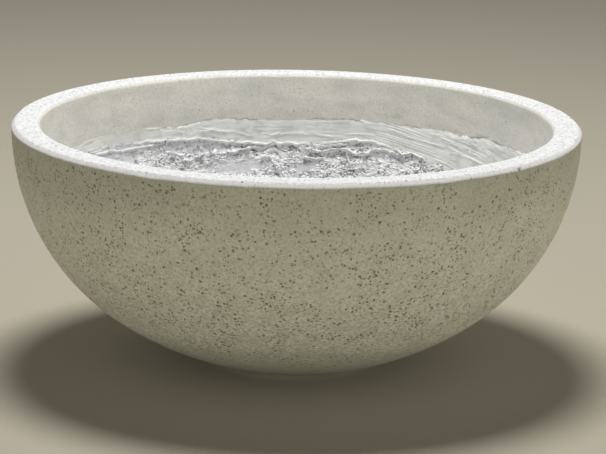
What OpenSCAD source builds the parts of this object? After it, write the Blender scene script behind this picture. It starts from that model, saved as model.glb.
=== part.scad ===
// Round concrete bowl planter, laid up in layers: a speckled facing with a ground rim,
// a reinforcing mesh, a hand-laid backing and a brushed lining, with a plugged drain
// through the foot. Sizes are in millimetres. The origin is on the ground under the
// bowl's axis, and +Z is up.

/* [Bowl] */
// Diameter over the rim
bowl_d = 800; // [640:1:1000]
// Height from the ground to the top of the rim
bowl_h = 342; // [290:1:400]
// Diameter of the foot that stands on the ground
foot_d = 200; // [160:1:260]
// Slope of the wall where it leaves the foot, in degrees
foot_slope = 13; // [9:0.5:17]
// Slope where the belly's arc passes into the flank's arc, in degrees
belly_slope = 34; // [30:0.5:40]

/* [Rim] */
// Width of the rim, which is the wall's whole thickness without its lining
rim_w = 40; // [32:1:50]
// Chamfer ground on the rim's outer edge
outer_chamfer = 5; // [3:0.5:8]
// Chamfer ground on the rim's inner edge
inner_chamfer = 4; // [2:0.5:6]
// Depth below the rim to which the facing mix fills the whole wall
return_h = 92; // [84:1:110]

/* [Layers] */
// Thickness of the speckled facing
facing_t = 12; // [10:0.5:16]
// Thickness of the reinforcing mesh
mesh_t = 1.5; // [1:0.1:2.5]
// Thickness of the waterproof lining
lining_t = 4; // [2:0.5:6]
// Height to which the lining laps over the joint under the return
lining_lap = 22; // [10:1:40]

/* [Rim hoop] */
// Diameter of the reinforcing rod that is bent into the hoop
rod_d = 8; // [6:0.5:10]
// Clearance round the rod in its groove
rod_gap = 0.3; // [0.2:0.05:0.5]

/* [Foot] */
// Width of the ring that the bowl stands on
foot_ring_w = 25; // [15:1:40]
// Depth of the recess inside that ring
recess_h = 4; // [2:0.5:6]
// Number of weep grooves across the ring
weep_n = 3; // [2:1:6]
// Width of a weep groove
weep_w = 14; // [8:1:20]

/* [Drain] */
// Bore of the drain sleeve
drain_bore = 32; // [24:1:40]
// Wall of the drain sleeve
sleeve_wall = 3; // [2:0.5:5]
// Width by which a collar stands out round the sleeve and keys it into the backing
collar_w = 11; // [6:1:18]
// Thickness of that collar
collar_t = 4; // [3:0.5:6]

/* [Plug] */
// Radial clearance of the plug's stem in the sleeve
plug_gap = 0.3; // [0.2:0.05:0.5]
// Length of the stem
stem_l = 24; // [16:1:28]
// Length of the stem's straight part, under the head
stem_straight = 5; // [3:1:10]
// Amount by which the stem's radius tapers to its tip
stem_taper = 1.6; // [0.5:0.1:3]
// Width by which the head laps over the edge of the bore
head_lap = 8; // [5:0.5:12]
// Thickness of the head
head_t = 4; // [3:0.5:6]
// Diameter of the grip's ball
grip_d = 18; // [12:1:24]
// Height of the ball's middle above the head
grip_rise = 11; // [8:0.5:14]
// Diameter of the neck under the ball
neck_d = 9; // [6:0.5:11]

/* [Hidden] */
$fn = 96;

// The wall's outer face is two arcs. The belly's arc leaves the foot's edge at
// foot_slope and the flank's arc ends upright under the rim's chamfer. They meet at
// belly_slope, so both radii follow from the run and the rise that they share.
run = bowl_d / 2 - foot_d / 2;
rise = bowl_h - outer_chamfer;
belly_run = sin(belly_slope) - sin(foot_slope);
belly_rise = cos(foot_slope) - cos(belly_slope);
flank_run = 1 - sin(belly_slope);
flank_rise = cos(belly_slope);
share = belly_run * flank_rise - flank_run * belly_rise;
belly_r = (run * flank_rise - rise * flank_run) / share;
flank_r = (rise * belly_run - run * belly_rise) / share;
belly_c = [foot_d / 2 - belly_r * sin(foot_slope), belly_r * cos(foot_slope)];
flank_c = [bowl_d / 2 - flank_r, rise];

// Heights that the layers share
ledge_z = bowl_h - return_h;
lining_top = ledge_z + lining_lap;
floor_z = rim_w + lining_t;

// Radii round the drain
bore_r = drain_bore / 2;
sleeve_r = bore_r + sleeve_wall;
collar_r = sleeve_r + collar_w;

// A length that reaches past everything, and how far a cut runs past the face it opens
far = 2 * bowl_d;
past = 1;

// Radius, at height z on the flank, of the face that lies inset behind the outer face
function flank_radius(inset, z) =
    flank_c.x + sqrt(pow(flank_r - inset, 2) - pow(flank_c.y - z, 2));

// The hoop lies in the middle of the backing's top face
hoop_z = ledge_z - rod_gap - rod_d / 2;
hoop_r = flank_radius((facing_t + mesh_t + rim_w) / 2, hoop_z);

// Half section of all that lies inside the face set in by inset, up to height top. The
// flank's circle lies inside the belly's and touches it where the two arcs meet, so only
// the belly's is cut off there.
module filled_section(inset, top) {
    down_the_seam = far * [sin(belly_slope), -cos(belly_slope)];
    intersection() {
        translate([0, inset]) square([far, top - inset]);
        union() {
            intersection() {
                translate(belly_c) circle(belly_r - inset);
                polygon([belly_c, belly_c + down_the_seam, [-far, -far], [-far, belly_c.y]]);
            }
            intersection() {
                translate(flank_c) circle(flank_r - inset);
                translate([-far, -far]) square([2 * far, far + flank_c.y]);
            }
            translate([0, flank_c.y]) square([bowl_d / 2 - inset, far]);
        }
    }
}

// Half section of a layer from one inset to a deeper one, with a hole round the axis
module layer_section(outer, inner, top, hole_r) {
    difference() {
        filled_section(outer, top);
        filled_section(inner, top + far);
        square([hole_r, far]);
    }
}

module facing_shell() {
    inner_edge = bowl_d / 2 - rim_w;
    recess_r = foot_d / 2 - foot_ring_w;
    color("#b5b19f")
    difference() {
        rotate_extrude()
        difference() {
            union() {
                layer_section(0, facing_t, bowl_h, sleeve_r);
                difference() {
                    layer_section(0, rim_w, bowl_h, sleeve_r);
                    translate([0, -far]) square([far, far + ledge_z]);
                }
            }
            translate([bowl_d / 2, bowl_h]) rotate(45) square(outer_chamfer * sqrt(2), center = true);
            translate([inner_edge, bowl_h]) rotate(45) square(inner_chamfer * sqrt(2), center = true);
            square([recess_r, recess_h]);
        }
        for (i = [0 : weep_n - 1])
            rotate(90 + i * 360 / weep_n)
            translate([recess_r - past, -weep_w / 2, -past])
            cube([foot_d, weep_w, recess_h + past]);
    }
}

module reinforcing_mesh() {
    color("#e3e6e0")
    rotate_extrude()
    layer_section(facing_t, facing_t + mesh_t, ledge_z, collar_r);
}

module backing_shell() {
    groove = rod_d + 2 * rod_gap;
    color("#a9a89f")
    rotate_extrude()
    difference() {
        layer_section(facing_t + mesh_t, rim_w, ledge_z, sleeve_r);
        translate([0, facing_t]) square([collar_r, collar_t]);
        translate([hoop_r - groove / 2, ledge_z - groove]) square([groove, groove + past]);
    }
}

module rim_hoop() {
    color("#8c8f92")
    rotate_extrude()
    translate([hoop_r, hoop_z]) circle(d = rod_d);
}

module waterproof_lining() {
    color("#c3c4c1")
    rotate_extrude()
    layer_section(rim_w, rim_w + lining_t, lining_top, sleeve_r);
}

module drain_sleeve() {
    color("#7d8287")
    rotate_extrude() {
        translate([bore_r, recess_h]) square([sleeve_wall, floor_z - recess_h]);
        translate([bore_r, facing_t]) square([sleeve_wall + collar_w, collar_t]);
    }
}

module drain_plug() {
    stem_r = bore_r - plug_gap;
    edge_r = head_t / 2;
    flat_r = bore_r + head_lap - edge_r;
    ball_z = head_t + grip_rise;
    color("#2b2b2c")
    translate([0, 0, floor_z])
    rotate_extrude()
    intersection() {
        translate([0, -far]) square([far, 2 * far]);
        union() {
            // The stem, which starts inside the head
            polygon([
                [-past, edge_r], [stem_r, edge_r], [stem_r, -stem_straight],
                [stem_r - stem_taper, -stem_l], [-past, -stem_l]
            ]);
            // The head, with a round edge
            translate([-past, 0]) square([flat_r + past, head_t]);
            translate([flat_r, edge_r]) circle(edge_r);
            // The neck and the ball
            translate([-past, 0]) square([neck_d / 2 + past, ball_z]);
            translate([0, ball_z]) circle(d = grip_d);
        }
    }
}

facing_shell();
reinforcing_mesh();
backing_shell();
rim_hoop();
waterproof_lining();
drain_sleeve();
drain_plug();
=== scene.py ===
"""Looks of the round concrete bowl planter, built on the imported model. Lengths are in mm while a
mesh is worked out, and in metres where a node or a Blender object takes them."""

import itertools
import math
import random

import bpy
import numpy as np
from mathutils import Matrix, Vector


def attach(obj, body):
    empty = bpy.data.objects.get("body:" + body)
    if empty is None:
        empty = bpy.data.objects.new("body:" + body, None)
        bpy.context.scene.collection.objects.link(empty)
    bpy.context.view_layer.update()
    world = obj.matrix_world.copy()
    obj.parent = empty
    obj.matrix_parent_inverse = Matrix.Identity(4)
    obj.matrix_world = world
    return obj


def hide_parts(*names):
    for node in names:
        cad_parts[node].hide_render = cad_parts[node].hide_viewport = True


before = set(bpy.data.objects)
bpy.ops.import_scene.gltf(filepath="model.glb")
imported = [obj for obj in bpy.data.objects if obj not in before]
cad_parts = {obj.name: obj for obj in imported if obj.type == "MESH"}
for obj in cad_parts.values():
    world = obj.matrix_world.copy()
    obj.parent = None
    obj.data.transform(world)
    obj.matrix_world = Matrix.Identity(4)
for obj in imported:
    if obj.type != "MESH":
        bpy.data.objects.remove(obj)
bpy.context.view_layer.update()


# ---- Cast facing ---------------------------------------------------------------------------
# A 12 mm skin of white cement, pale sand and dark stone chips, pressed against a mould. It
# turns in over the rim and fills the wall's whole thickness there. The face is rubbed back
# until the chips show, and the rim and its two edges are ground flat.

bowl_r, bowl_h, foot_r, rim_w = 400, 342, 100, 40
facing_t, ledge_z, sleeve_r = 12, 250, 19
outer_ground, inner_ground = 5, 4
recess_r, recess_h, weep_w = 75, 4, 14
foot_slope, belly_slope = math.radians(13), math.radians(34)

# The outer face is two arcs that meet at belly_slope, so their radii follow from the run and
# the rise that they share.
run, rise = bowl_r - foot_r, bowl_h - outer_ground
belly_run = math.sin(belly_slope) - math.sin(foot_slope)
belly_rise = math.cos(foot_slope) - math.cos(belly_slope)
flank_run, flank_rise = 1 - math.sin(belly_slope), math.cos(belly_slope)
share = belly_run * flank_rise - flank_run * belly_rise
belly_r = (run * flank_rise - rise * flank_run) / share
flank_r = (rise * belly_run - run * belly_rise) / share
belly_c = (foot_r - belly_r * math.sin(foot_slope), belly_r * math.cos(foot_slope))
flank_c = (bowl_r - flank_r, rise)


def wall(inset, slope):
    """Radius and height, in mm, of the face set in by inset, where the wall slopes so."""
    centre, radius = (belly_c, belly_r) if slope < belly_slope else (flank_c, flank_r)
    return (centre[0] + (radius - inset) * math.sin(slope),
            centre[1] - (radius - inset) * math.cos(slope))


def slope_at(inset, z):
    """Slope of the wall where the face set in by inset has height z."""
    slope = math.acos(min(1, (flank_c[1] - z) / (flank_r - inset)))
    if slope < belly_slope:
        slope = math.acos((belly_c[1] - z) / (belly_r - inset))
    return slope


def noise(points, size, seed):
    """Smooth noise from -1 to 1 at points in mm, whose bumps are about size mm wide."""
    q = points / size + 31.7 * seed
    cell = np.floor(q).astype(np.int64)
    part = q - cell
    ease = part * part * (3 - 2 * part)
    total = np.zeros(len(points))
    for corner in itertools.product((0, 1), repeat=3):
        at = cell + corner
        mix = (at[:, 0] * 73856093) ^ (at[:, 1] * 19349663) ^ (at[:, 2] * 83492791)
        mix = (mix * 1103515245 + 12345) & 0x7FFFFFFF
        mix = ((mix >> 13) ^ mix) * 1274126177 & 0x7FFFFFFF
        value = (mix & 0xFFFF) / 32767.5 - 1
        total += value * np.prod(np.where(corner, ease, 1 - ease), axis=1)
    return total


def step(x):
    """A smooth step from 0 to 1 as x goes from 0 to 1."""
    x = np.clip(x, 0, 1)
    return x * x * (3 - 2 * x)


def around(count):
    return np.arange(count) * 2 * math.pi / count


def circle(count, r, z):
    """Points, in mm, of one ring of the mesh. r and z may differ round the ring."""
    turn = around(count)
    return np.column_stack([r * np.cos(turn), r * np.sin(turn), z + 0 * turn])


def ring_mesh(name, rings, paints):
    """A closed skin through rings of points in mm, the last joined to the first. Where two
    rings differ in count, one has a whole number of times the other's."""
    starts = np.cumsum([0] + [len(ring) for ring in rings])
    faces, paint_of = [], []
    for k, ring in enumerate(rings):
        n, m = len(ring), len(rings[(k + 1) % len(rings)])
        a, b = starts[k], starts[(k + 1) % len(rings)]
        few = min(n, m)
        p, q = n // few, m // few
        for i in range(few):
            low = [int(a + (p * i + j) % n) for j in range(p + 1)]
            high = [int(b + (q * i + j) % m) for j in range(q, -1, -1)]
            faces.append(low + high)
        paint_of += [paints[k]] * few
    mesh = bpy.data.meshes.new(name)
    mesh.from_pydata((np.vstack(rings) * 0.001).tolist(), [], faces)
    mesh.polygons.foreach_set("material_index", paint_of)
    mesh.polygons.foreach_set("use_smooth", [True] * len(faces))
    mesh.update()
    piece = bpy.data.objects.new(name, mesh)
    bpy.context.scene.collection.objects.link(piece)
    return piece


face_n, rim_n = 480, 960
FACE, GROUND, CAST, INSIDE, POCKET = 0, 1, 2, 3, 4
rings, paints = [], []


def ring(count, r, z, paint):
    rings.append(circle(count, r, z))
    paints.append(paint)


def foot(r, z):
    """The foot's faces are lifted to the recess's height where a weep groove crosses."""
    turn = around(face_n)
    lift = 0 * turn
    for k in range(3):
        aside = turn - math.radians(90 + 120 * k)
        across = np.abs(r * np.sin(aside))
        lift = np.maximum(lift, step((weep_w / 2 + 0.8 - across) / 1.6) * (np.cos(aside) > 0))
    ring(face_n, r, z + lift * max(recess_h - z, 0), CAST)


for r in (sleeve_r, 26, 34, 42, 50, 58, 66, 72):
    ring(face_n // 2, r, recess_h, CAST)
for r, z in ((recess_r - 0.8, recess_h), (recess_r, recess_h - 0.6), (recess_r + 0.1, 0.7),
             (recess_r + 0.9, 0), (80, 0), (86, 0), (92, 0), (97, 0), (foot_r - 0.8, 0)):
    foot(r, z)
# The foot's edge is left as cast, and the face is rubbed from a slope of 16 degrees upwards.
for slope in np.radians(np.linspace(13, 15.6, 8)):
    foot(*wall(0, slope))
flush = 0.2  # the paste lies this far in, so that the chips end level with the wall
for slope in np.radians(np.linspace(16, 34, 25)[:-1]):
    ring(face_n, *wall(flush, slope), FACE)
for slope in np.radians(np.linspace(34.01, 88.8, 51)):
    ring(face_n, *wall(flush, slope), FACE)

# The ground edge wanders by about a millimetre, with a few nicks where the grinder caught.
turn = around(rim_n)
edge = np.column_stack([bowl_r * np.cos(turn), bowl_r * np.sin(turn), 0 * turn])
ground = outer_ground + 0.4 * noise(edge, 70, 1) + 0.25 * noise(edge, 15, 2)
for degrees, wide, deep in ((242, 2.2, 0.7), (261, 0.8, 0.7), (299, 1.6, 0.8), (18, 1.0, 0.8),
                            (77, 0.7, 0.8), (143, 1.4, 0.8)):
    off = np.degrees(np.angle(np.exp(1j * (turn - math.radians(degrees)))))
    ground += deep * np.exp(-(off / wide) ** 2)
void_at = 317.8  # degrees, where one chip fell out
void = 5 * np.exp(-((np.degrees(turn) - void_at) / 0.5) ** 4)
inner = inner_ground + 0.5 * noise(edge, 45, 3) + 0.3 * noise(edge, 14, 4)
top = bowl_h - 0.15 - 0.15 * noise(edge, 80, 5)
wall_in = bowl_r - rim_w
ring(rim_n, bowl_r - flush, bowl_h - ground - 1.6, GROUND)
ring(rim_n, bowl_r - flush - 0.6 * void, bowl_h - ground - 0.6, GROUND)
ring(rim_n, bowl_r - 0.4 - void, bowl_h - ground + 0.2, GROUND)
for t in (0.12, 0.4, 0.7, 0.88):
    ring(rim_n, bowl_r - ground * t - 0.1 - void * (t < 0.2), bowl_h - ground * (1 - t) - 0.1,
         GROUND)
ring(rim_n, bowl_r - ground + 0.1, top - 0.12, GROUND)
ring(rim_n, bowl_r - ground - 0.8, top, GROUND)
for r in (389, 383, 377, 371):
    ring(rim_n, r, top + 0.1 * noise(circle(rim_n, r, 0), 30, 6), GROUND)
ring(rim_n, wall_in + inner + 0.8, top, GROUND)
ring(rim_n, wall_in + inner, top - 0.12, GROUND)
for t, paint in ((0.15, GROUND), (0.5, CAST), (0.85, CAST)):
    ring(rim_n, wall_in + inner * (1 - t) + 0.05, bowl_h - inner * t - 0.1, paint)
ring(rim_n, wall_in + 0.1, bowl_h - inner - 0.4, CAST)
for slope in np.linspace(math.pi / 2, slope_at(rim_w, ledge_z), 24):
    r, z = wall(rim_w, slope)
    place = circle(face_n, r, z)
    ring(face_n, r + 0.35 * noise(place, 70, 7) + 0.12 * noise(place, 18, 8),
         z - (1.6 if slope == math.pi / 2 else 0), CAST)
ring(face_n // 2, rings[-1][:, 0].max() + 4, ledge_z, INSIDE)
for slope in np.linspace(slope_at(facing_t, ledge_z), slope_at(facing_t, facing_t), 26):
    ring(face_n // 4, *wall(facing_t, slope), INSIDE)
ring(face_n // 4, 60, facing_t, INSIDE)
ring(face_n // 4, sleeve_r, facing_t, INSIDE)
facing = ring_mesh("cast_facing", rings, paints)
# The faces of the lost chip's pocket, in metres.
pocket_r, pocket_z, pocket_wide = 0.3985, 0.3372, 0.0026
pocket = Vector((pocket_r * math.cos(math.radians(void_at)),
                 pocket_r * math.sin(math.radians(void_at)), pocket_z))
for polygon in facing.data.polygons:
    if (polygon.center - pocket).length < pocket_wide:
        polygon.material_index = POCKET


def srgb(code):
    """Linear colour of an sRGB hex code."""
    parts = [int(code[i:i + 2], 16) / 255 for i in (1, 3, 5)]
    return (*(c / 12.92 if c <= 0.04045 else ((c + 0.055) / 1.055) ** 2.4 for c in parts), 1)


def add(tree, kind, inputs=None, **settings):
    """Adds a node. inputs gives each input, by name or number, a value or what feeds it."""
    node = tree.nodes.new(kind)
    for name, value in settings.items():
        setattr(node, name, value)
    for key, value in (inputs or {}).items():
        if isinstance(value, bpy.types.NodeSocket):
            tree.links.new(value, node.inputs[key])
        else:
            node.inputs[key].default_value = value
    return node


def material(name, roughness, ior=1.5, metallic=0.0):
    """A new material with its tree, its shader and its place in Object coordinates."""
    made = bpy.data.materials.new(name)
    made.use_nodes = True
    tree = made.node_tree
    shader = tree.nodes["Principled BSDF"]
    shader.inputs["Roughness"].default_value = roughness
    shader.inputs["IOR"].default_value = ior
    shader.inputs["Metallic"].default_value = metallic
    place = add(tree, "ShaderNodeTexCoord").outputs["Object"]
    return made, tree, shader, place


def coats(tree, tone, *layers, way="MIX"):
    """A tone with colours laid over it in turn, each by the product of its shares. A colour is
    an sRGB hex code, or what feeds one."""
    tone = srgb(tone) if isinstance(tone, str) else tone
    for colour, share, *factors in layers:
        for factor in factors:
            share = add(tree, "ShaderNodeMath", {0: share, 1: factor},
                        operation="MULTIPLY").outputs[0]
        colour = srgb(colour) if isinstance(colour, str) else colour
        tone = add(tree, "ShaderNodeMix", {0: share, 6: tone, 7: colour}, data_type="RGBA",
                   blend_type=way).outputs[2]
    return tone


def grit(tree, place, mm, detail=2.0, low=0.35, high=0.65):
    """Noise from 0 to 1 whose bumps are about mm wide."""
    wave = add(tree, "ShaderNodeTexNoise", {"Vector": place, "Scale": 1000 / mm,
                                            "Detail": detail}).outputs["Fac"]
    return add(tree, "ShaderNodeMapRange", {"Value": wave, "From Min": low,
                                            "From Max": high}).outputs["Result"]


def chips(tree, tone, place, spacing, size, share, dark, pale, *strength, blur=0.25):
    """A tone with chips laid over it, each of its own colour from dark to pale. The chips are
    size mm across at most, in cells spacing mm wide, of which share hold one."""
    bent = add(tree, "ShaderNodeTexNoise", {"Vector": place, "Scale": 700 / size}).outputs["Color"]
    off = add(tree, "ShaderNodeVectorMath", {0: bent, 1: (0.5, 0.5, 0.5)},
              operation="SUBTRACT").outputs[0]
    off = add(tree, "ShaderNodeVectorMath", {0: off, "Scale": size * 0.0009},
              operation="SCALE").outputs[0]
    at = add(tree, "ShaderNodeVectorMath", {0: place, 1: off}).outputs[0]
    cells = add(tree, "ShaderNodeTexVoronoi", {"Vector": at, "Scale": 1000 / spacing})
    lot = add(tree, "ShaderNodeSeparateColor", {0: cells.outputs["Color"]}).outputs
    radius = add(tree, "ShaderNodeMapRange", {
        "Value": lot["Red"], "To Min": 0.3 * size / spacing,
        "To Max": 0.5 * size / spacing}).outputs["Result"]
    inside = add(tree, "ShaderNodeMath", {0: radius, 1: cells.outputs["Distance"]},
                 operation="SUBTRACT").outputs[0]
    inside = add(tree, "ShaderNodeMapRange", {
        "Value": inside, "From Max": blur * size / spacing}).outputs["Result"]
    held = add(tree, "ShaderNodeMath", {0: lot["Green"], 1: share},
               operation="LESS_THAN").outputs[0]
    return coats(tree, tone, (coats(tree, dark, (pale, lot["Blue"])), inside, held, *strength))


def between(tree, place, low, high, least=0.0):
    """Share that goes from least at height low, in metres, to 1 at height high."""
    height = add(tree, "ShaderNodeSeparateXYZ", {0: place}).outputs["Z"]
    return add(tree, "ShaderNodeMapRange", {"Value": height, "From Min": low, "From Max": high,
                                            "To Min": least}).outputs["Result"]


def dress(tree, shader, tone, height=None, mm=0.0):
    """Joins the shader to its tone, and to bump of mm millimetres from a height of 0 to 1."""
    tree.links.new(tone, shader.inputs["Base Color"])
    if height is not None:
        bump = add(tree, "ShaderNodeBump", {"Height": height, "Distance": 0.001 * mm,
                                            "Strength": 1.0})
        tree.links.new(bump.outputs[0], shader.inputs["Normal"])


# Rubbed concrete: matte, warm grey and faintly blotched, with a sandy grain of about 1 mm and
# many small chips that lie just under or at the surface. Its colour is painted paler low on the
# belly and darker up the flank, standing in for light bounced up from the floor. It is painted
# darker at the foot as the shade next to the floor, and just under the rim as painted shade.
rubbed, tree, shader, place = material("rubbed_speckled_concrete", 0.78)
# Painted shading: the first share darkens the face going up the flank, the second near the foot.
painted_flank_shade, painted_foot_shade = between(tree, place, 0.05, 0.3), between(tree, place, 0.085, 0.015)
tone = coats(tree, "#e7e3cb", ("#afab93", painted_flank_shade),
             ("#d0ccb4", grit(tree, place, 90, 3), 0.4),
             ("#837f6c", painted_foot_shade, 0.85),
             ("#a9a58c", grit(tree, place, 24, 3, 0.42, 0.68), 0.35),
             ("#a39f87", grit(tree, place, 4.2, 2, 0.4, 0.66), 0.75),
             ("#d0ccb8", grit(tree, place, 1.6, 2, 0.5, 0.7), 0.55))
tone = chips(tree, tone, place, 4.4, 3.4, 0.75, "#716d59", "#a8a48d", 0.55, blur=0.35)
tone = chips(tree, tone, place, 8, 5.2, 0.75, "#625e4c", "#98947e", 0.65)
# Painted shade just under the rim.
painted_shade_under_rim = between(tree, place, 0.265, 0.335)
tone = coats(tree, tone, ("#edede9", painted_shade_under_rim), way="MULTIPLY")
dress(tree, shader, tone, grit(tree, place, 1.2, 3), 0.12)

# Ground rim: the grinder bares white cement and pale marble grit, so it is nearly white, a
# little smoother, and peppered with grey specks of 1 to 3 mm. Its chamfered edges are painted
# greyer, a painted shade for their tilt away from the overhead light.
rim_white, tree, shader, place = material("ground_white_concrete", 0.8)
# Painted shade on the two chamfers.
painted_chamfer_shade = between(tree, place, 0.3412, 0.3392)
tone = coats(tree, "#f2f2f1", ("#d8d8d6", grit(tree, place, 4, 3, 0.4, 0.6)),
             ("#d3d2cd", painted_chamfer_shade, 0.75))
tone = chips(tree, tone, place, 3.3, 2.8, 0.75, "#a9aaac", "#e4e4e2", 0.85)
tone = chips(tree, tone, place, 6.2, 4.4, 0.6, "#77766f", "#dcdbd6", 0.85)
dress(tree, shader, tone, grit(tree, place, 1.5, 2), 0.06)

# Cast band under the rim: left as it came off the core, smooth and grey, with water marks and
# smudges from the skim below. A few pinholes of 1 to 2 mm are painted as grey spots, a painted
# shade for small holes that are not modelled.
cast, tree, shader, place = material("smooth_cast_concrete", 0.62)
level = add(tree, "ShaderNodeMapping", {"Vector": place, "Scale": (0.4, 0.4, 1)}).outputs[0]
tone = coats(tree, "#f2efe3", ("#e8e6de", grit(tree, place, 90, 3)),
             ("#cbc9be", grit(tree, level, 17, 4, 0.45, 0.75), 0.55),
             ("#cdcbc0", grit(tree, place, 2.6, 3, 0.42, 0.66), 0.55))
upper, low_down = between(tree, place, 0.308, 0.33), between(tree, place, 0.296, 0.276)
tone = coats(tree, tone, ("#f2f2f0", upper), way="MULTIPLY")
tone = coats(tree, tone, ("#a8a59b", grit(tree, level, 15, 5, 0.56, 0.7), low_down, 0.6))
# Pinholes painted as spots: painted shade of small holes.
crowd = grit(tree, place, 60, 2, 0.46, 0.56)
tone = chips(tree, tone, place, 4.6, 2.8, 0.6, "#7b796f", "#c4c2b6", crowd)
dress(tree, shader, tone, grit(tree, place, 12, 3), 0.2)

# The hidden back of the facing: grey, open and coarse, as the mix is packed in by hand.
packed, tree, shader, place = material("packed_mix_back", 0.9)
tone = coats(tree, "#b9b5a4", ("#8f8c7e", grit(tree, place, 5, 4)))
dress(tree, shader, tone, grit(tree, place, 4, 4), 1.2)

# The pocket of the lost chip, painted near black as painted shade in the hole, with a fine grain.
empty, tree, shader, place = material("lost_chip_pocket_shade", 0.9)
dress(tree, shader, coats(tree, "#2b271e", ("#57513f", grit(tree, place, 1.5, 2))))

for paint in (rubbed, rim_white, cast, packed, empty):
    facing.data.materials.append(paint)
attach(facing, "bowl")
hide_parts("facing_shell")


# ---- Dark stone chips ----------------------------------------------------------------------
# Crushed dark stone of 2 to 5 mm in the facing mix. Rubbing the face leaves the larger chips
# flush with it, as flat, angular spots that crowd together here and thin out there.

rng = random.Random(5)
chip_shapes = bpy.data.collections.new("chip_shapes")
for k in range(6):
    corners = rng.choice((5, 6, 7))
    turns = [(i + rng.uniform(-0.28, 0.28)) * 2 * math.pi / corners for i in range(corners)]
    reach = [rng.uniform(0.36, 0.5) for _ in turns]
    points = [(g * math.cos(t), g * math.sin(t), 0.06) for t, g in zip(turns, reach)]
    points.append((0, 0, -0.7))
    under = [[corners, (i + 1) % corners, i] for i in range(corners)]
    mesh = bpy.data.meshes.new(f"chip_{k}")
    mesh.from_pydata([tuple(0.001 * c for c in p) for p in points], [],
                     [list(range(corners))] + under)
    chip_shapes.objects.link(bpy.data.objects.new(f"chip_{k}", mesh))

# The stone differs from chip to chip, from near black to a greenish grey, with a fine grain.
stone, tree, shader, place = material("dark_stone_chips", 0.7)
lot = add(tree, "ShaderNodeAttribute", attribute_name="tone").outputs["Fac"]
dress(tree, shader, coats(tree, "#59523e", ("#989278", lot),
                          ("#7d7760", grit(tree, place, 0.9, 2), 0.4)))

scatter = bpy.data.node_groups.new("scatter_chips", "GeometryNodeTree")
scatter.interface.new_socket("Geometry", in_out="OUTPUT", socket_type="NodeSocketGeometry")
for name, kind, value in (("Geometry", "Geometry", None), ("Per square metre", "Float", 15000.0),
                          ("Smallest", "Float", 1.9), ("Largest", "Float", 5.8),
                          ("Crowd size", "Float", 42.0), ("Seed", "Int", 7),
                          ("Shapes", "Collection", chip_shapes), ("Finish", "Material", stone)):
    socket = scatter.interface.new_socket(name, in_out="INPUT", socket_type="NodeSocket" + kind)
    if kind in ("Float", "Int"):
        socket.default_value = value
given = add(scatter, "NodeGroupInput").outputs
spot = add(scatter, "GeometryNodeInputPosition").outputs[0]
crowd = add(scatter, "ShaderNodeTexNoise", {
    "Vector": spot, "Detail": 2.0, "Scale": add(scatter, "ShaderNodeMath", {
        0: 1000.0, 1: given["Crowd size"]}, operation="DIVIDE").outputs[0]}).outputs["Fac"]
crowd = add(scatter, "ShaderNodeMapRange", {"Value": crowd, "From Min": 0.38, "From Max": 0.64,
                                            "To Min": 0.12, "To Max": 2.0}).outputs["Result"]
dense = crowd
for factor in (between(scatter, spot, 0.015, 0.12), given["Per square metre"]):
    dense = add(scatter, "ShaderNodeMath", {0: dense, 1: factor}, operation="MULTIPLY").outputs[0]
rubbed_face = add(scatter, "GeometryNodeInputNamedAttribute", {"Name": "rubbed"},
                  data_type="BOOLEAN").outputs["Attribute"]
spread = add(scatter, "GeometryNodeDistributePointsOnFaces", {
    "Mesh": given["Geometry"], "Selection": rubbed_face, "Density": dense,
    "Seed": given["Seed"]})
chance = add(scatter, "FunctionNodeRandomValue", {"Seed": 1}, data_type="FLOAT").outputs[1]
skewed = add(scatter, "ShaderNodeMath", {0: chance, 1: 1.7}, operation="POWER").outputs[0]
across = add(scatter, "ShaderNodeMapRange", {
    "Value": skewed, "To Min": given["Smallest"], "To Max": given["Largest"]}).outputs["Result"]
narrow = add(scatter, "FunctionNodeRandomValue", {2: 0.6, 3: 1.0, "Seed": 2},
             data_type="FLOAT").outputs[1]
deep = add(scatter, "ShaderNodeMath", {0: across, 1: narrow}, operation="MULTIPLY").outputs[0]
scale = add(scatter, "ShaderNodeCombineXYZ", {"X": across, "Y": deep, "Z": 1.0}).outputs[0]
spin = add(scatter, "FunctionNodeRandomValue", {"Min": (0, 0, 0), "Max": (0, 0, 2 * math.pi),
                                                "Seed": 3}, data_type="FLOAT_VECTOR").outputs[0]
spin = add(scatter, "FunctionNodeEulerToRotation", {0: spin}).outputs[0]
turned = add(scatter, "FunctionNodeRotateRotation", {0: spread.outputs["Rotation"], 1: spin},
             rotation_space="LOCAL").outputs[0]
shapes = add(scatter, "GeometryNodeCollectionInfo", {
    "Collection": given["Shapes"], "Separate Children": True, "Reset Children": True})
laid = add(scatter, "GeometryNodeInstanceOnPoints", {
    "Points": spread.outputs["Points"], "Instance": shapes.outputs[0], "Pick Instance": True,
    "Rotation": turned, "Scale": scale}).outputs[0]
shade = add(scatter, "FunctionNodeRandomValue", {"Seed": 4}, data_type="FLOAT").outputs[1]
laid = add(scatter, "GeometryNodeStoreNamedAttribute", {
    "Geometry": laid, "Name": "tone", "Value": shade}, data_type="FLOAT",
    domain="INSTANCE").outputs[0]
laid = add(scatter, "GeometryNodeRealizeInstances", {"Geometry": laid}).outputs[0]
laid = add(scatter, "GeometryNodeSetMaterial", {"Geometry": laid,
                                                "Material": given["Finish"]}).outputs[0]
add(scatter, "NodeGroupOutput", {0: laid})

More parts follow.
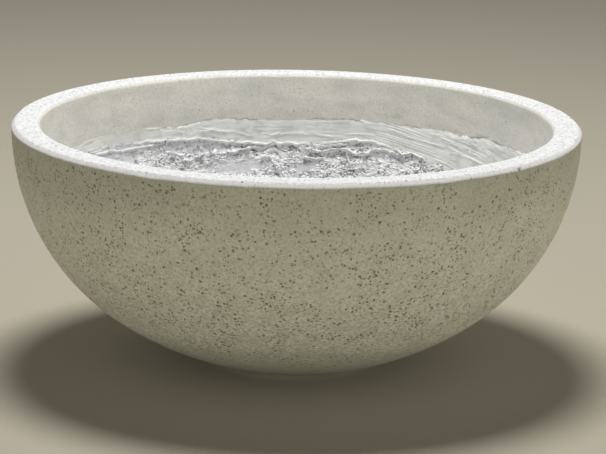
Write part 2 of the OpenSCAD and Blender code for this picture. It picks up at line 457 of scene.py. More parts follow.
chips_top = 0.333  # the chips stop a little below the ground edge
bed = facing.data.copy()
bed.attributes.new("rubbed", "BOOLEAN", "FACE").data.foreach_set(
    "value", [polygon.material_index == FACE and polygon.center.z < chips_top
              for polygon in bed.polygons])
layer = bpy.data.objects.new("chip_bed", bed)
bpy.context.scene.collection.objects.link(layer)
made = layer.modifiers.new("chips", "NODES")
made.node_group = scatter
for item in scatter.interface.items_tree:
    if item.item_type == "SOCKET" and item.in_out == "INPUT" and item.name in ("Shapes", "Finish"):
        made[item.identifier] = {"Shapes": chip_shapes, "Finish": stone}[item.name]
bpy.context.view_layer.update()
stones = bpy.data.meshes.new_from_object(layer.evaluated_get(
    bpy.context.evaluated_depsgraph_get()))
bpy.data.objects.remove(layer)
stone_chips = bpy.data.objects.new("stone_chips", stones)
bpy.context.scene.collection.objects.link(stone_chips)
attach(stone_chips, "bowl")


# ---- Glass-fibre mesh ----------------------------------------------------------------------
# A white, coated scrim of woven glass strands, laid into the wet facing and buried by the
# backing. Its strands are 2 mm wide and 5 mm apart, with grey cement in the gaps.

scrim, tree, shader, place = material("woven_glass_scrim", 0.55, 1.52)
split = add(tree, "ShaderNodeSeparateXYZ", {0: place}).outputs
strands = None
for axis in ("X", "Y"):
    at = add(tree, "ShaderNodeMath", {0: split[axis], 1: 0.005}, operation="PINGPONG").outputs[0]
    band = add(tree, "ShaderNodeMapRange", {"Value": at, "From Min": 0.0015,
                                            "From Max": 0.0008}).outputs["Result"]
    strands = band if strands is None else add(
        tree, "ShaderNodeMath", {0: strands, 1: band}, operation="MAXIMUM").outputs[0]
tone = coats(tree, "#9b998d", ("#b5b3a8", grit(tree, place, 3, 3)), ("#e6e8e2", strands))
dress(tree, shader, tone, strands, 0.6)


def finish_node(name, made):
    """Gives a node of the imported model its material."""
    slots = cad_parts[name].data.materials
    slots.clear()
    slots.append(made)


finish_node("reinforcing_mesh", scrim)


# ---- Backing -------------------------------------------------------------------------------
# Plain grey fibre-reinforced mortar, built up by hand to the wall's full thickness. It is
# coarse and matt, with short fibres of about 12 mm showing on its faces.

mortar, tree, shader, place = material("fibre_mortar", 0.92)
sand = grit(tree, place, 1.4, 3)
long = add(tree, "ShaderNodeMapping", {"Vector": place, "Scale": (80, 900, 900)}).outputs[0]
fibre = add(tree, "ShaderNodeTexNoise", {"Vector": long, "Scale": 1.0, "Detail": 1.0}).outputs[0]
fibre = add(tree, "ShaderNodeMapRange", {"Value": fibre, "From Min": 0.66,
                                         "From Max": 0.72}).outputs["Result"]
tone = coats(tree, "#a5a398", ("#b8b6ac", grit(tree, place, 30, 4)), ("#8e8c82", sand),
             ("#d8d7cc", fibre))
dress(tree, shader, tone, sand, 0.8)
finish_node("backing_shell", mortar)


# ---- Rim hoop ------------------------------------------------------------------------------
# An 8 mm mild steel rod, rolled into a hoop, welded and hot-dip galvanised, then cast into the
# wall under the rim to tie it. The zinc is pale grey, in crystals of about 5 mm, with some
# white bloom where wet cement has lain on it.

zinc, tree, shader, place = material("hot_dip_zinc", 0.42, 1.5, 0.9)
crystal = add(tree, "ShaderNodeTexVoronoi", {"Vector": place, "Scale": 1000 / 5})
lot = add(tree, "ShaderNodeSeparateColor", {0: crystal.outputs["Color"]}).outputs["Red"]
bloom = grit(tree, place, 12, 5, 0.52, 0.66)
rough = add(tree, "ShaderNodeMapRange", {"Value": bloom, "To Min": 0.38,
                                         "To Max": 0.75}).outputs["Result"]
tree.links.new(rough, shader.inputs["Roughness"])
tone = coats(tree, "#b7babc", ("#cfd1d2", lot), ("#d9d9d4", bloom))
dress(tree, shader, tone, grit(tree, place, 2, 4), 0.1)
finish_node("rim_hoop", zinc)


# ---- Trowelled skim ------------------------------------------------------------------------
# A thin skim of pale polymer-cement mortar, trowelled round the wall where the cast band ends.
# It feathers out in a ragged line above, ends in a lip over the coat below, and keeps the
# long creases of the trowel.

skin_n = 1152
# Depths under the rim, in mm, of the skim's two edges at angles round the bowl.
skim_top = ((16, 61), (30, 63), (37, 60), (44, 64), (60, 63), (80, 62), (97, 65), (110, 61),
            (117, 64), (121, 69), (125, 69), (131, 65), (137, 60), (150, 62), (172, 67),
            (215, 63), (250, 68), (290, 60), (330, 66), (376, 61))
skim_end = ((8, 130), (30, 132), (45, 127), (50, 120), (54, 116), (58, 112), (63, 107), (67, 101),
            (70, 98), (76, 99), (79, 102), (84, 108), (89, 107), (92, 105), (94, 108), (96, 103),
            (98, 107), (104, 104), (108, 102), (112, 97), (116, 95), (124, 93), (132, 91),
            (139, 89), (152, 89), (160, 94), (180, 101), (205, 92), (240, 104),
            (275, 95), (310, 107), (340, 101), (368, 130))
# Creases of the far wall: the angles and depths that each passes, its height, and its width
# above and below.
creases = [
    (((151, 85), (146, 83), (144, 87)), 1.1, 1.2, 1.6),
    (((131, 68), (129, 71), (125, 71), (120, 75), (118, 72)), 1.3, 1.0, 3.0),
    (((117, 74), (114, 79), (111, 84), (108, 85)), 1.5, 1.0, 4.0),
    (((118, 89), (117, 86), (116, 83)), 1.3, 1.4, 1.4),
    (((115, 83), (113, 85), (111, 91)), 1.2, 1.2, 3.0),
    (((115, 86), (111, 82), (107, 86), (103, 92), (98, 98), (95, 92)), 1.0, 3.0, 1.4),
    (((96, 93), (92, 91), (89, 90), (85, 91), (81, 94)), 1.0, 3.0, 1.2),
    (((74, 66), (71, 72), (68, 75), (65, 77), (60, 84), (57, 86), (49, 90), (44, 95)),
     1.5, 1.2, 4.0),
    (((67, 84), (64, 91), (58, 97), (53, 102)), 1.2, 1.2, 4.0),
    (((56, 74), (53, 75), (48, 83), (43, 86)), 1.0, 1.0, 3.0),
    (((50, 97), (44, 97), (38, 100), (32, 106)), 1.3, 1.4, 4.0),
    (((52, 110), (44, 118), (38, 124)), 1.0, 1.0, 2.5),
    (((78, 88), (73, 86), (70, 88)), 0.9, 1.2, 1.6),
]


def wander(rng, angles, depths, drifts, counts, strides, stray):
    """A random path of angles and depths, each from its span, that drifts as it goes."""
    angle, depth, drift = (rng.uniform(*span) for span in (angles, depths, drifts))
    path = []
    for _ in range(rng.randint(*counts)):
        path.append((angle, depth))
        angle -= rng.uniform(*strides)
        depth += drift + rng.uniform(-stray, stray)
    return tuple(path)


# Round the rest of the bowl the trowel went on in the same way.
rng = random.Random(11)
for k in range(46):
    path = wander(rng, (160, 374), (72, 104), (-0.5, 2.2), (3, 8), (2, 5), 2.5)
    sides = rng.choice(((1.0, 3.5), (3.0, 1.2), (1.2, 1.6)))
    creases.append((path, rng.uniform(0.8, 1.6), *sides))


def stations(low, high, count, apart):
    """Slopes and counts of rings from depth low to depth high under the rim, apart mm apart."""
    slope, last = slope_at(rim_w, bowl_h - low), slope_at(rim_w, bowl_h - high)
    while slope > last:
        yield slope, count
        slope -= apart / ((belly_r if slope < belly_slope else flank_r) - rim_w)


class Layer:
    """Points on the wall's inner face, with their angle and depth, and a height over it."""

    def __init__(self, places):
        self.rings = [circle(n, *(wall(rim_w, s) if s > 0 else (-s, rim_w))) for s, n in places]
        self.at = np.vstack(self.rings)
        lean = np.repeat([max(s, 0) for s, _ in places], [n for _, n in places])
        turn = np.arctan2(self.at[:, 1], self.at[:, 0])
        self.out = np.column_stack([-np.sin(lean) * np.cos(turn), -np.sin(lean) * np.sin(turn),
                                    np.cos(lean)])
        self.angle = np.degrees(turn) % 360
        self.depth = bowl_h - self.at[:, 2]
        self.sway = 1.9 * noise(self.at, 11, 25) + 1.1 * noise(self.at, 4.5, 26)
        # The trowel was lifted slowly on the left, and pressed flat on the right.
        self.lifted = step((self.angle - 127) / 8) * step((178 - self.angle) / 12)
        self.pressed = step((72 - self.angle) / 12) * step((self.angle - 15) / 12)

    def away(self, angle, depth, wide, tall):
        """How far each point is from a place that reaches wide degrees and tall mm each way."""
        return np.hypot(((self.angle - angle + 180) % 360 - 180) / wide,
                        (self.depth - depth) / tall)

    def line(self, pairs):
        """Depth at each point's angle, from pairs of angle and depth round the bowl."""
        angles, depths = zip(*pairs)
        return np.interp(np.where(self.angle < angles[0], self.angle + 360, self.angle),
                         angles, depths)

    def lip(self, path, above, below):
        """1 on a swaying path of angles and depths, falling to 0 over above and below it."""
        got = np.zeros(len(self.at))
        angles, depths = zip(*path)
        mid = (max(angles) + min(angles)) / 2
        off = (self.angle - mid + 180) % 360 - 180
        pick = np.where((np.abs(off) < (max(angles) - min(angles)) / 2 + 3)
                        & (self.depth > min(depths) - 14) & (self.depth < max(depths) + 14))[0]
        near, side = np.full(len(pick), 1e9), np.zeros(len(pick))
        for (a0, d0), (a1, d1) in zip(path, path[1:]):
            x, y = (off[pick] + mid - a0) * 6.0, (self.depth[pick] + self.sway[pick] - d0) * 1.1
            dx, dy = (a1 - a0) * 6.0, (d1 - d0) * 1.1
            t = np.clip((x * dx + y * dy) / (dx * dx + dy * dy), 0, 1)
            far = np.hypot(x - t * dx, y - t * dy)
            closer = far < near
            side = np.where(closer, y - t * dy, side)
            near = np.where(closer, far, near)
        got[pick] = np.exp(-(near / np.where(side < 0, above, below)) ** 2)
        return got

    def build(self, name, height, back, shades):
        """A closed piece: this skin at those heights, and a plain back behind it."""
        front = np.split(self.at + self.out * height[:, None],
                         np.cumsum([len(r) for r in self.rings])[:-1])
        piece = ring_mesh(name, back + front, [0] * len(back + front))
        spare = sum(len(r) for r in back)
        for shade, values in shades.items():
            piece.data.attributes.new(shade, "FLOAT", "POINT").data.foreach_set(
                "value", np.concatenate([np.zeros(spare), values]))
        return piece


# Depths where the skim's mesh begins, grows coarser and ends, and the points of a back ring.
skim_from, skim_mid, skim_to, back_n = 57, 112, 138, 128
skim = Layer(list(stations(skim_from, skim_mid, skin_n, 1.02))
             + list(stations(skim_mid, skim_to, skin_n, 1.7)))
top_line = skim.line(skim_top) + 1.6 * noise(skim.at, 9, 11) + 1.0 * noise(skim.at, 4, 12)
end_line = skim.line(skim_end) + 1.9 * noise(skim.at, 14, 13) + 1.3 * noise(skim.at, 5, 14)
below_top = skim.depth - top_line
above_end = end_line - skim.depth
# Across the strokes of the trowel, which run down to the right on the right-hand side.
lay = skim.at.copy()
lay[:, 2] = skim.depth - skim.line(((0, 50), (30, 43), (75, 0), (125, 0), (160, 12), (200, 0),
                                    (250, 20), (300, 0), (330, 25), (360, 50)))
stroke = np.array([70.0, 70.0, 5.0])
firm = 1 - 0.75 * step((skim.angle - 66) / 14) * step((150 - skim.angle) / 14)
skim.sway *= 1 - 0.6 * firm
body = 1.9 + firm * (0.09 * noise(lay, stroke, 15) + 0.09 * noise(lay, stroke / 2, 16))
body += 0.35 * noise(skim.at, 40, 17)
drag = firm * step((noise(skim.at, 60, 20) + 0.2) / 0.5)
body += 0.11 * drag * noise(lay, np.array([110.0, 110.0, 3.4]), 19)
lit = np.zeros(len(skim.at))
worn = np.clip(0.7 + 1.0 * noise(skim.at, 16, 21) + 0.5 * noise(skim.at, 6, 27), 0, 1)
for path, tall, above, below in creases:
    body += (1.5 - 0.8 * firm) * tall * skim.lip(path, 0.7 * above, 0.7 * below) * worn
    lit = np.maximum(lit, skim.lip(path, 1.8, 1.8) * (0.45 + 0.55 * worn))
# Where the trowel chattered the skim is ruffled, in places given by their angle and depth.
ruffled = np.zeros(len(skim.at))
for angle, depth in ((47, 79), (39, 84), (119, 76), (196, 84), (238, 80), (262, 90), (318, 86)):
    ruffled = np.maximum(ruffled, step(1.5 - skim.away(angle, depth, 7, 11)
                                       + 0.4 * noise(skim.at, 12, 23)))
ripple = ruffled * np.clip(1 - np.abs(noise(skim.at, np.array([9.0, 9.0, 6.0]), 24)) / 0.3, 0, 1)
body += 0.6 * ripple
lit = np.maximum(lit, ripple)
# Where the trowel was lifted the skim thins out over 20 mm. Its lower lip is slight there, and
# flat where the trowel pressed.
lifted, pressed = skim.lifted, skim.pressed
slight = 1 - 0.75 * np.maximum(lifted, pressed)
body += 2.8 * slight * np.exp(-((above_end - 1.4) / 1.5) ** 2) * (
    0.7 + 0.7 * noise(skim.at, 12, 22))
body -= 1.1 * pressed * np.exp(-np.maximum(above_end, 0) / 6)
lit = np.maximum(lit, np.exp(-((above_end - 1.2) / 2.5) ** 2) * (
    1 - 0.4 * lifted - 0.8 * pressed))
taper = below_top / (11 + 9 * lifted)
height = -0.8 + (body + 0.8) * step(taper) * step((above_end + 1.6) / 1.6)
back = [circle(back_n, *wall(rim_w - 2, s))
        for s, _ in stations(skim_from, skim_to + 2, 0, 9)][::-1]
# These shades carry a painted highlight on the creases and lip, a painted shadow line under the
# top edge, and painted shade where the skim thins out.
shades = {"crest_highlight": lit * step(below_top / 3), "drag": drag, "across": lay[:, 2] * 0.001,
          "edge": np.exp(-((below_top - 4.2) / 2) ** 2) * (1 - lifted),
          "thin": np.maximum(0.25 * pressed, 1 - step((taper - 0.3) * (1.4 - 0.8 * lifted)))}
trowelled = skim.build("trowelled_skim", height, back, shades)


def torn(tree, field, place, mm, low, high, sway=0.5):
    """A field cut off between low and high, along an edge torn in bits about mm wide."""
    field = add(tree, "ShaderNodeMath", {0: grit(tree, place, mm, 3), 1: -sway, 2: field},
                operation="MULTIPLY_ADD").outputs[0]
    return add(tree, "ShaderNodeMapRange", {"Value": field, "From Min": low,
                                            "From Max": high}).outputs["Result"]


def threads(tree, place, size, wide, share_mm, low=0.47, strength=1.0):
    """Thin wandering lines, where noise of that size crosses its middle. They come and go in
    stretches about share_mm long, more of them where low is lower."""
    at = add(tree, "ShaderNodeMapping", {"Vector": place, "Scale": [1000 / s for s in size]})
    wave = add(tree, "ShaderNodeTexNoise", {"Vector": at.outputs[0], "Scale": 1.0,
                                            "Detail": 1.5}).outputs["Fac"]
    off = add(tree, "ShaderNodeMath", {0: wave, 1: 0.5}, operation="SUBTRACT").outputs[0]
    off = add(tree, "ShaderNodeMath", {0: off}, operation="ABSOLUTE").outputs[0]
    line = add(tree, "ShaderNodeMapRange", {"Value": off, "From Min": wide,
                                            "From Max": wide * 0.3}).outputs["Result"]
    for factor in (grit(tree, place, share_mm, 2, low, low + 0.09), strength):
        line = add(tree, "ShaderNodeMath", {0: line, 1: factor}, operation="MULTIPLY").outputs[0]
    return line


# Trowelled mortar: pale, even and matt, with fine lines along the strokes. Its creases, lip and
# fine lines are painted whiter, a painted highlight where they face the overhead light. A dark
# line along its top edge is painted shadow where the edge lifts, and where the skim thins out it
# is painted greyer, a painted shade that offsets the light its tilted edge catches.
skim_mortar, tree, shader, place = material("trowelled_cement_skim", 0.5)
crest_highlight, edge, drag, across, thin = (
    add(tree, "ShaderNodeAttribute", attribute_name=name).outputs["Fac"]
    for name in ("crest_highlight", "edge", "drag", "across", "thin"))
split = add(tree, "ShaderNodeSeparateXYZ", {0: place}).outputs
lay = add(tree, "ShaderNodeCombineXYZ", {"X": split["X"], "Y": split["Y"], "Z": across}).outputs[0]
fine = threads(tree, lay, (70, 70, 8), 0.1, 40, strength=0.5)
drawn = threads(tree, lay, (140, 140, 5), 0.14, 60, 0.42, drag)
lines = add(tree, "ShaderNodeMath", {0: fine, 1: drawn}, operation="MAXIMUM").outputs[0]
# Painted highlight on the creases, the lip and the fine lines.
white = add(tree, "ShaderNodeMath", {0: lines, 1: 0.75}, operation="MULTIPLY").outputs[0]
white = add(tree, "ShaderNodeMath", {0: white, 1: torn(tree, crest_highlight, place, 6, 0.25, 0.38, 0.6)},
            operation="MAXIMUM").outputs[0]
tone = coats(tree, "#fbfcf6", ("#f5f6f0", grit(tree, place, 35, 4)),
             ("#ebece6", grit(tree, place, 7, 3, 0.5, 0.75)),
             # Painted shade where the skim thins out.
             ("#dad8cf", thin),
             ("#a3a49f", threads(tree, lay, (80, 80, 6), 0.12, 25), 0.3),
             # Painted shadow line along the top edge.
             ("#918f86", torn(tree, edge, place, 16, 0.3, 0.6, 0.6), 0.85),
             ("#fbfbf8", white))
dress(tree, shader, tone, lines, 0.7)
trowelled.data.materials.append(skim_mortar)
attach(trowelled, "bowl")
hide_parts("waterproof_lining")


# ---- Brushed coat --------------------------------------------------------------------------
# A thick coat of waterproof slurry, stippled on below the skim and over the floor with a stiff
# brush. It dries glossy, with crumbs of 3 to 6 mm, ridges where the brush lifted it, and hollows.
# Its ridges are painted white as a painted highlight, and its hollows darker grey as painted
# shade.

coat_n = 1152
# Ridges of the far wall, as the creases above.
ridges = [
    (((149, 92), (140, 95), (136, 96), (132, 97), (128, 94)), 1.6, 1.6, 1.6),
    (((125, 107), (122, 114), (121, 115)), 1.8, 1.4, 1.2),
    (((121, 122), (119, 125), (117, 120), (115, 117)), 2.0, 1.8, 1.4),
    (((108, 118), (106, 116), (103, 113), (101, 110), (99, 112), (96, 107)), 2.6, 2.2, 1.5),
    (((87, 114), (85, 117), (83, 116), (81, 112), (79, 110), (77, 111), (75, 116), (71, 115)),
     3.4, 2.4, 1.4),
    (((96, 112), (95, 117), (94, 123)), 2.0, 1.5, 1.5),
    (((99, 124), (97, 125), (96, 133), (95, 145), (94, 150)), 2.4, 2.2, 2.2),
    (((88, 126), (86, 126), (83, 127)), 2.2, 1.6, 1.4),
    (((72, 115), (69, 107), (66, 108), (64, 110), (61, 114)), 2.6, 1.8, 1.4),
    (((64, 105), (61, 110), (59, 107), (56, 110)), 2.2, 1.6, 1.4),
    (((84, 108), (82, 106), (79, 103), (77, 104)), 1.8, 1.6, 1.4),
]
# Hollows, painted darker grey as painted shade: angle, depth, half width in degrees and in mm.
# Then places brushed smooth.
hollows = [(122, 122, 7, 8), (116, 108, 10, 7), (104, 110, 4, 6), (93, 115, 4, 7),
           (86, 120, 3, 4), (79, 117, 4, 7), (70, 119, 4, 3)]
smooth = [(107, 137, 10, 12), (147, 95, 15, 14), (139, 108, 7, 7), (88, 140, 6, 8),
          (116, 106, 12, 9)]
rng = random.Random(12)
for k in range(60):
    path = wander(rng, (150, 415), (106, 165), (-2.5, 2.5), (3, 7), (1.2, 3.2), 3.5)
    ridges.append((path, rng.uniform(1.4, 2.8), rng.uniform(1.4, 2.4), 1.5))
for k in range(26):
    hollows.append((rng.uniform(150, 415), rng.uniform(112, 165), rng.uniform(3, 7),
                    rng.uniform(4, 10)))
for k in range(18):
    smooth.append((rng.uniform(160, 410), rng.uniform(112, 200), rng.uniform(5, 11),
                   rng.uniform(7, 14)))


def crumbs(points, size, seed):
    """Round lumps from 0 to 1, about size mm wide."""
    q = points / size + 9.3 * seed
    cell = np.floor(q).astype(np.int64)
    nearest = np.full(len(points), 9.0)
    tall = np.zeros(len(points))
    for corner in itertools.product((-1, 0, 1), repeat=3):
        at = cell + corner
        mix = ((at[:, 0] * 73856093) ^ (at[:, 1] * 19349663) ^ (at[:, 2] * 83492791)) & 0x7FFFFFFF
        lots = []
        for _ in range(4):
            mix = (mix * 1103515245 + 12345) & 0x7FFFFFFF
            lots.append(((mix >> 8) & 0xFFFF) / 65536)
        off = at + np.column_stack(lots[:3]) - q
        far = np.sqrt((off ** 2).sum(1))
        closer = far < nearest
        tall = np.where(closer, lots[3], tall)
        nearest = np.where(closer, far, nearest)
    return np.clip(1 - 1.3 * nearest ** 2, 0, 1) * (0.25 + 0.75 * tall)


floor_z, seat_r = 44, 30
# Depths where the coat's mesh begins, grows coarser twice and meets the floor.
coat_from, coat_mid, coat_low, coat_to = 80, 146, 250, bowl_h - rim_w
places = []
for low, high, count, apart in ((coat_from, coat_mid, coat_n, 1.4),
                                (coat_mid, coat_low, coat_n // 2, 4.2),
                                (coat_low, coat_to, coat_n // 4, 4.6)):
    places += stations(low, high, count, apart)
places += [(-r, coat_n // 4) for r in np.arange(92, 34, -4.6)]
places += [(-r, coat_n // 8) for r in (33, 29, 25.5, 22, sleeve_r)]
coat = Layer(places)
end_line = coat.line(skim_end)
down = coat.depth - end_line
deep = step((down - 3) / 30)
body = 1.0 + 2.2 * deep + 0.6 * noise(coat.at, 28, 31) + 0.35 * noise(coat.at, 11, 32)
body += 1.1 * coat.lifted * np.exp(-(down / 14) ** 2)
dark_hollow_and_lip_shade, calm = np.zeros(len(coat.at)), np.zeros(len(coat.at))
for field, spots in ((dark_hollow_and_lip_shade, hollows), (calm, smooth)):
    for spot in spots:
        patch = step(1.4 - coat.away(*spot) + 0.5 * noise(coat.at, 8, 39))
        np.maximum(field, patch, out=field)
dark_hollow_and_lip_shade = np.maximum(dark_hollow_and_lip_shade, 0.7 * step((noise(coat.at, 50, 40) - 0.25) / 0.4) * deep)
# Painted shadow under the skim's lip, added to the darker hollows.
shade = np.exp(-((down - 5) / 4) ** 2) * step((noise(coat.at, 22, 41) + 0.3) / 0.5)
shade = shade * (1 - coat.pressed) * (1 - 0.8 * coat.lifted)
dark_hollow_and_lip_shade = np.maximum(dark_hollow_and_lip_shade, shade) * (1 - 0.5 * calm)
lumps, fine = crumbs(coat.at, 6.5, 33), crumbs(coat.at, 3.6, 34)
rough = (0.35 + 0.65 * step((noise(coat.at, 38, 35) + 0.3) / 0.6)) * (1 - 0.75 * calm)
body += rough * (1.7 * lumps + 1.6 * fine)
# Pits between the lumps, painted darker as painted shade.
pit_shades = np.clip(1 - 2.6 * np.maximum(lumps, fine), 0, 1) * step((rough - 0.4) / 0.5)
veins = (1 - np.abs(noise(coat.at, np.array([30.0, 30.0, 14.0]), 36))) ** 8
veins *= step((noise(coat.at, 30, 37) + 0.3) / 0.5) * (1 - 0.8 * calm)
body += (0.3 + 0.7 * deep) * 2.2 * veins
lit = veins
for path, tall, above, below in ridges:
    body += 1.8 * tall * coat.lip(path, 0.9 * above, 0.8 * below) * (
        0.8 + 0.6 * noise(coat.at, 6, 38))
    lit = np.maximum(lit, coat.lip(path, 2.4, 2.0))
body -= 0.8 * dark_hollow_and_lip_shade
height = -0.6 + (body + 0.6) * step((down + 9) / 6)
# Round the drain the coat is rubbed flat, so that the plug's head seals on it.
radius = np.hypot(coat.at[:, 0], coat.at[:, 1])
seat = step((radius - seat_r) / 14)
height = (floor_z - rim_w) + seat * (height - (floor_z - rim_w))
back = [circle(back_n, r, rim_w) for r in (sleeve_r, 55)]
back += [circle(back_n, *wall(rim_w, s))
         for s, _ in stations(coat_from + 3, coat_to, 0, 12)][::-1]
# These shades carry the painted highlight on ridges and lumps, and the painted shade of the
# hollows, the lip and the pits.
shades = {"crest_highlight": lit * seat, "dark_hollow_and_lip_shade": dark_hollow_and_lip_shade * seat, "calm": np.maximum(calm, 1 - seat),
          "pit_shade": pit_shades * seat * step((down - 2) / 6),
          "lump_highlight": np.clip(0.6 * lumps + 0.5 * fine, 0, 1) * seat * (1 - calm)}
brushed = coat.build("brushed_coat", height, back, shades)

# Cement slurry: glossy grey, darker towards the drain, painted darker grey in its hollows and
# with a painted shadow under the skim's lip. Crumbs of about 4.6 mm stand in it, with dark gaps
# between them and darker pits, both painted shade. It is painted white on the crumbs, on its
# ridges and on a net of fine wrinkles 3 to 8 mm apart, a painted highlight.
slurry, tree, shader, place = material("glossy_cement_slurry", 0.3)
crest_highlight, dark_hollow_and_lip_shade, lump_highlight, calm, pit_shade = (
    add(tree, "ShaderNodeAttribute", attribute_name=name).outputs["Fac"]
    for name in ("crest_highlight", "dark_hollow_and_lip_shade", "lump_highlight", "calm", "pit_shade"))
stiff = add(tree, "ShaderNodeMapRange", {"Value": calm, "To Min": 1.0,
                                         "To Max": 0.15}).outputs["Result"]
net = threads(tree, place, (26, 26, 11), 0.07, 34, strength=stiff)
for size, wide, stretch in (((13, 13, 6.5), 0.1, 22), ((6.5, 6.5, 4), 0.17, 14)):
    finer = threads(tree, place, size, wide, stretch, 0.44, stiff)
    net = add(tree, "ShaderNodeMath", {0: net, 1: finer}, operation="MAXIMUM").outputs[0]
coarse = between(tree, place, 0.08, 0.19, 0.3)
for factor in (stiff, grit(tree, place, 20, 3, 0.32, 0.5)):
    coarse = add(tree, "ShaderNodeMath", {0: coarse, 1: factor}, operation="MULTIPLY").outputs[0]
crumb = add(tree, "ShaderNodeTexVoronoi", {"Vector": place, "Scale": 1000 / 4.6})
dome_and_highlight, gap_shade = (add(tree, "ShaderNodeMapRange", {
    "Value": crumb.outputs["Distance"], "From Min": low, "From Max": high}).outputs["Result"]
    for low, high in ((0.55, 0.1), (0.46, 0.6)))
# Painted highlight on the ridges and the net of wrinkles.
white = add(tree, "ShaderNodeMath", {0: net, 1: torn(tree, crest_highlight, place, 5, 0.18, 0.3, 0.5)},
            operation="MAXIMUM").outputs[0]
# Painted shade in the hollows, pits and gaps; painted highlight on lumps and crumb domes.
tone = coats(tree, "#dddddd", ("#c5c6c6", grit(tree, place, 16, 4)),
             ("#e9e9ed", calm, 0.8),
             ("#858688", torn(tree, dark_hollow_and_lip_shade, place, 7, 0.15, 0.32, 0.7), 0.75),
             ("#6d6e70", pit_shade, 0.4),
             ("#f8f8f8", torn(tree, lump_highlight, place, 2.5, 0.3, 0.42, 0.4), 0.6),
             ("#fbfbfb", dome_and_highlight, coarse, 0.85),
             ("#47484c", gap_shade, coarse, 0.75))
# Painted highlight: white spots on crumbs.
tone = chips(tree, tone, place, 3.6, 3.4, 0.6, "#f8f8f6", "#f8f8f6", stiff, 0.85, blur=0.2)
tone = coats(tree, tone, ("#fbfbfb", white), ("#8d8f92", between(tree, place, 0.19, 0.06), 0.32))
raised = add(tree, "ShaderNodeMath", {0: dome_and_highlight, 1: coarse, 2: net},
             operation="MULTIPLY_ADD").outputs[0]
dress(tree, shader, tone, raised, 1.3)
brushed.data.materials.append(slurry)
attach(brushed, "bowl")
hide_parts("waterproof_lining")


# ---- Drain sleeve --------------------------------------------------------------------------
# A short length of grey PVC waste pipe with a collar that keys it into the backing. It is
# extruded, so it is smooth and slightly shiny, with fine lines along its length.

pvc, tree, shader, place = material("extruded_grey_pvc", 0.38, 1.53)
lines = add(tree, "ShaderNodeMapping", {"Vector": place, "Scale": (1, 1, 0.04)}).outputs[0]
tone = coats(tree, "#7b8085", ("#888d92", grit(tree, place, 8, 3)))
dress(tree, shader, tone, grit(tree, lines, 0.8, 2), 0.05)
finish_node("drain_sleeve", pvc)


# ---- Drain plug ----------------------------------------------------------------------------
# A moulded black rubber bung: a tapered stem that pushes into the sleeve, a flat head that
# laps over the lining, and a ball on a neck to pull it by.

rubber, tree, shader, place = material("moulded_black_rubber", 0.55, 1.52)
tone = coats(tree, "#262627", ("#353536", grit(tree, place, 6, 3)))
dress(tree, shader, tone, grit(tree, place, 0.7, 2), 0.05)
finish_node("drain_plug", rubber)


# ---- Floor, light and camera ---------------------------------------------------------------
# A plain pale floor, a broad soft lamp overhead and an even white surround.

bpy.ops.mesh.primitive_plane_add(size=60, location=(0, 0, -0.0005))
floor = bpy.context.object
floor.name = "floor"
paper, tree, shader, place = material("plain_pale_floor", 0.85)
shader.inputs["Base Color"].default_value = srgb("#b8b19f")
shader.inputs["Specular IOR Level"].default_value = 0.1
# From below the floor is clear, so that the foot can be seen through it.
below = add(tree, "ShaderNodeNewGeometry").outputs["Backfacing"]
clear = add(tree, "ShaderNodeBsdfTransparent").outputs[0]
seen = add(tree, "ShaderNodeMixShader", {0: below, 1: shader.outputs[0], 2: clear}).outputs[0]
tree.links.new(seen, tree.nodes["Material Output"].inputs["Surface"])
floor.data.materials.append(paper)

lamp = bpy.data.lights.new("overhead", "AREA")
lamp.shape, lamp.size, lamp.energy = "DISK", 1.2, 118.5
box = bpy.data.objects.new("overhead", lamp)
box.location = (-0.06, 0.68, 3.6)
box.rotation_euler = (Vector((0, 0, 0.2)) - box.location).to_track_quat("-Z", "Y").to_euler()
box.visible_camera = False
bpy.context.scene.collection.objects.link(box)

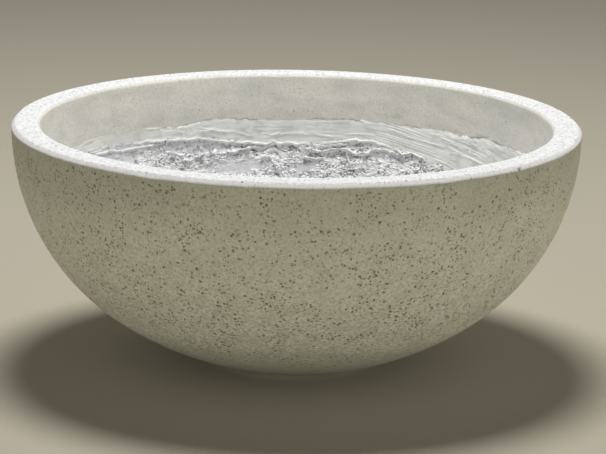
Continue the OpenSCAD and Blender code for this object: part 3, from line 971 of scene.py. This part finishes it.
# The surround is a pale room that glows near the floor, a little more in front and at the
# right, so that light reaches under the bowl's curve. Camera, glossy and clear rays see it
# even and pale.
world = bpy.data.worlds.new("surround")
bpy.context.scene.world = world
world.use_nodes = True
tree = world.node_tree
sky = tree.nodes["Background"]
sky.inputs["Color"].default_value = (1, 1, 1, 1)
toward = add(tree, "ShaderNodeTexCoord").outputs["Generated"]
rise = add(tree, "ShaderNodeSeparateXYZ", {0: toward}).outputs["Z"]
glow = add(tree, "ShaderNodeMapRange", {"Value": rise, "From Min": 0.0, "From Max": 0.27,
                                        "To Min": 3.4, "To Max": 0.05}).outputs["Result"]
side = add(tree, "ShaderNodeVectorMath", {0: toward, 1: (0.32, -0.5, 0)},
           operation="DOT_PRODUCT").outputs["Value"]
side = add(tree, "ShaderNodeMath", {0: side, 1: 1.0}).outputs[0]
for factor in (between(tree, toward, -0.05, 0.0, 0.1), side):
    glow = add(tree, "ShaderNodeMath", {0: glow, 1: factor}, operation="MULTIPLY").outputs[0]
path = add(tree, "ShaderNodeLightPath").outputs
seen = path["Is Camera Ray"]
for kind in ("Is Glossy Ray", "Is Transmission Ray"):
    seen = add(tree, "ShaderNodeMath", {0: seen, 1: path[kind]}, operation="MAXIMUM").outputs[0]
power = add(tree, "ShaderNodeMix", {0: seen, 2: glow, 3: 0.8})
tree.links.new(power.outputs[0], sky.inputs["Strength"])

# The camera stands 4.2 m in front of the bowl and 1.2 m up, and looks down on it.
pitch, yaw, roll = math.radians(13.506), math.radians(0.153), math.radians(0.989)
ahead = Vector((math.sin(yaw) * math.cos(pitch), math.cos(yaw) * math.cos(pitch),
                -math.sin(pitch)))
level_right = Vector((math.cos(yaw), -math.sin(yaw), 0))
level_up = level_right.cross(ahead)
right = math.cos(roll) * level_right + math.sin(roll) * level_up
up = -math.sin(roll) * level_right + math.cos(roll) * level_up
camera = bpy.data.objects.new("camera", bpy.data.cameras.new("camera"))
camera.data.sensor_width, camera.data.lens = 36, 180.9
camera.matrix_world = Matrix.Translation((0, -4.2, 1.198)) @ Matrix(
    (right, up, -ahead)).transposed().to_4x4()
bpy.context.scene.collection.objects.link(camera)
bpy.context.scene.camera = camera
bpy.context.scene.view_settings.view_transform = "Standard"
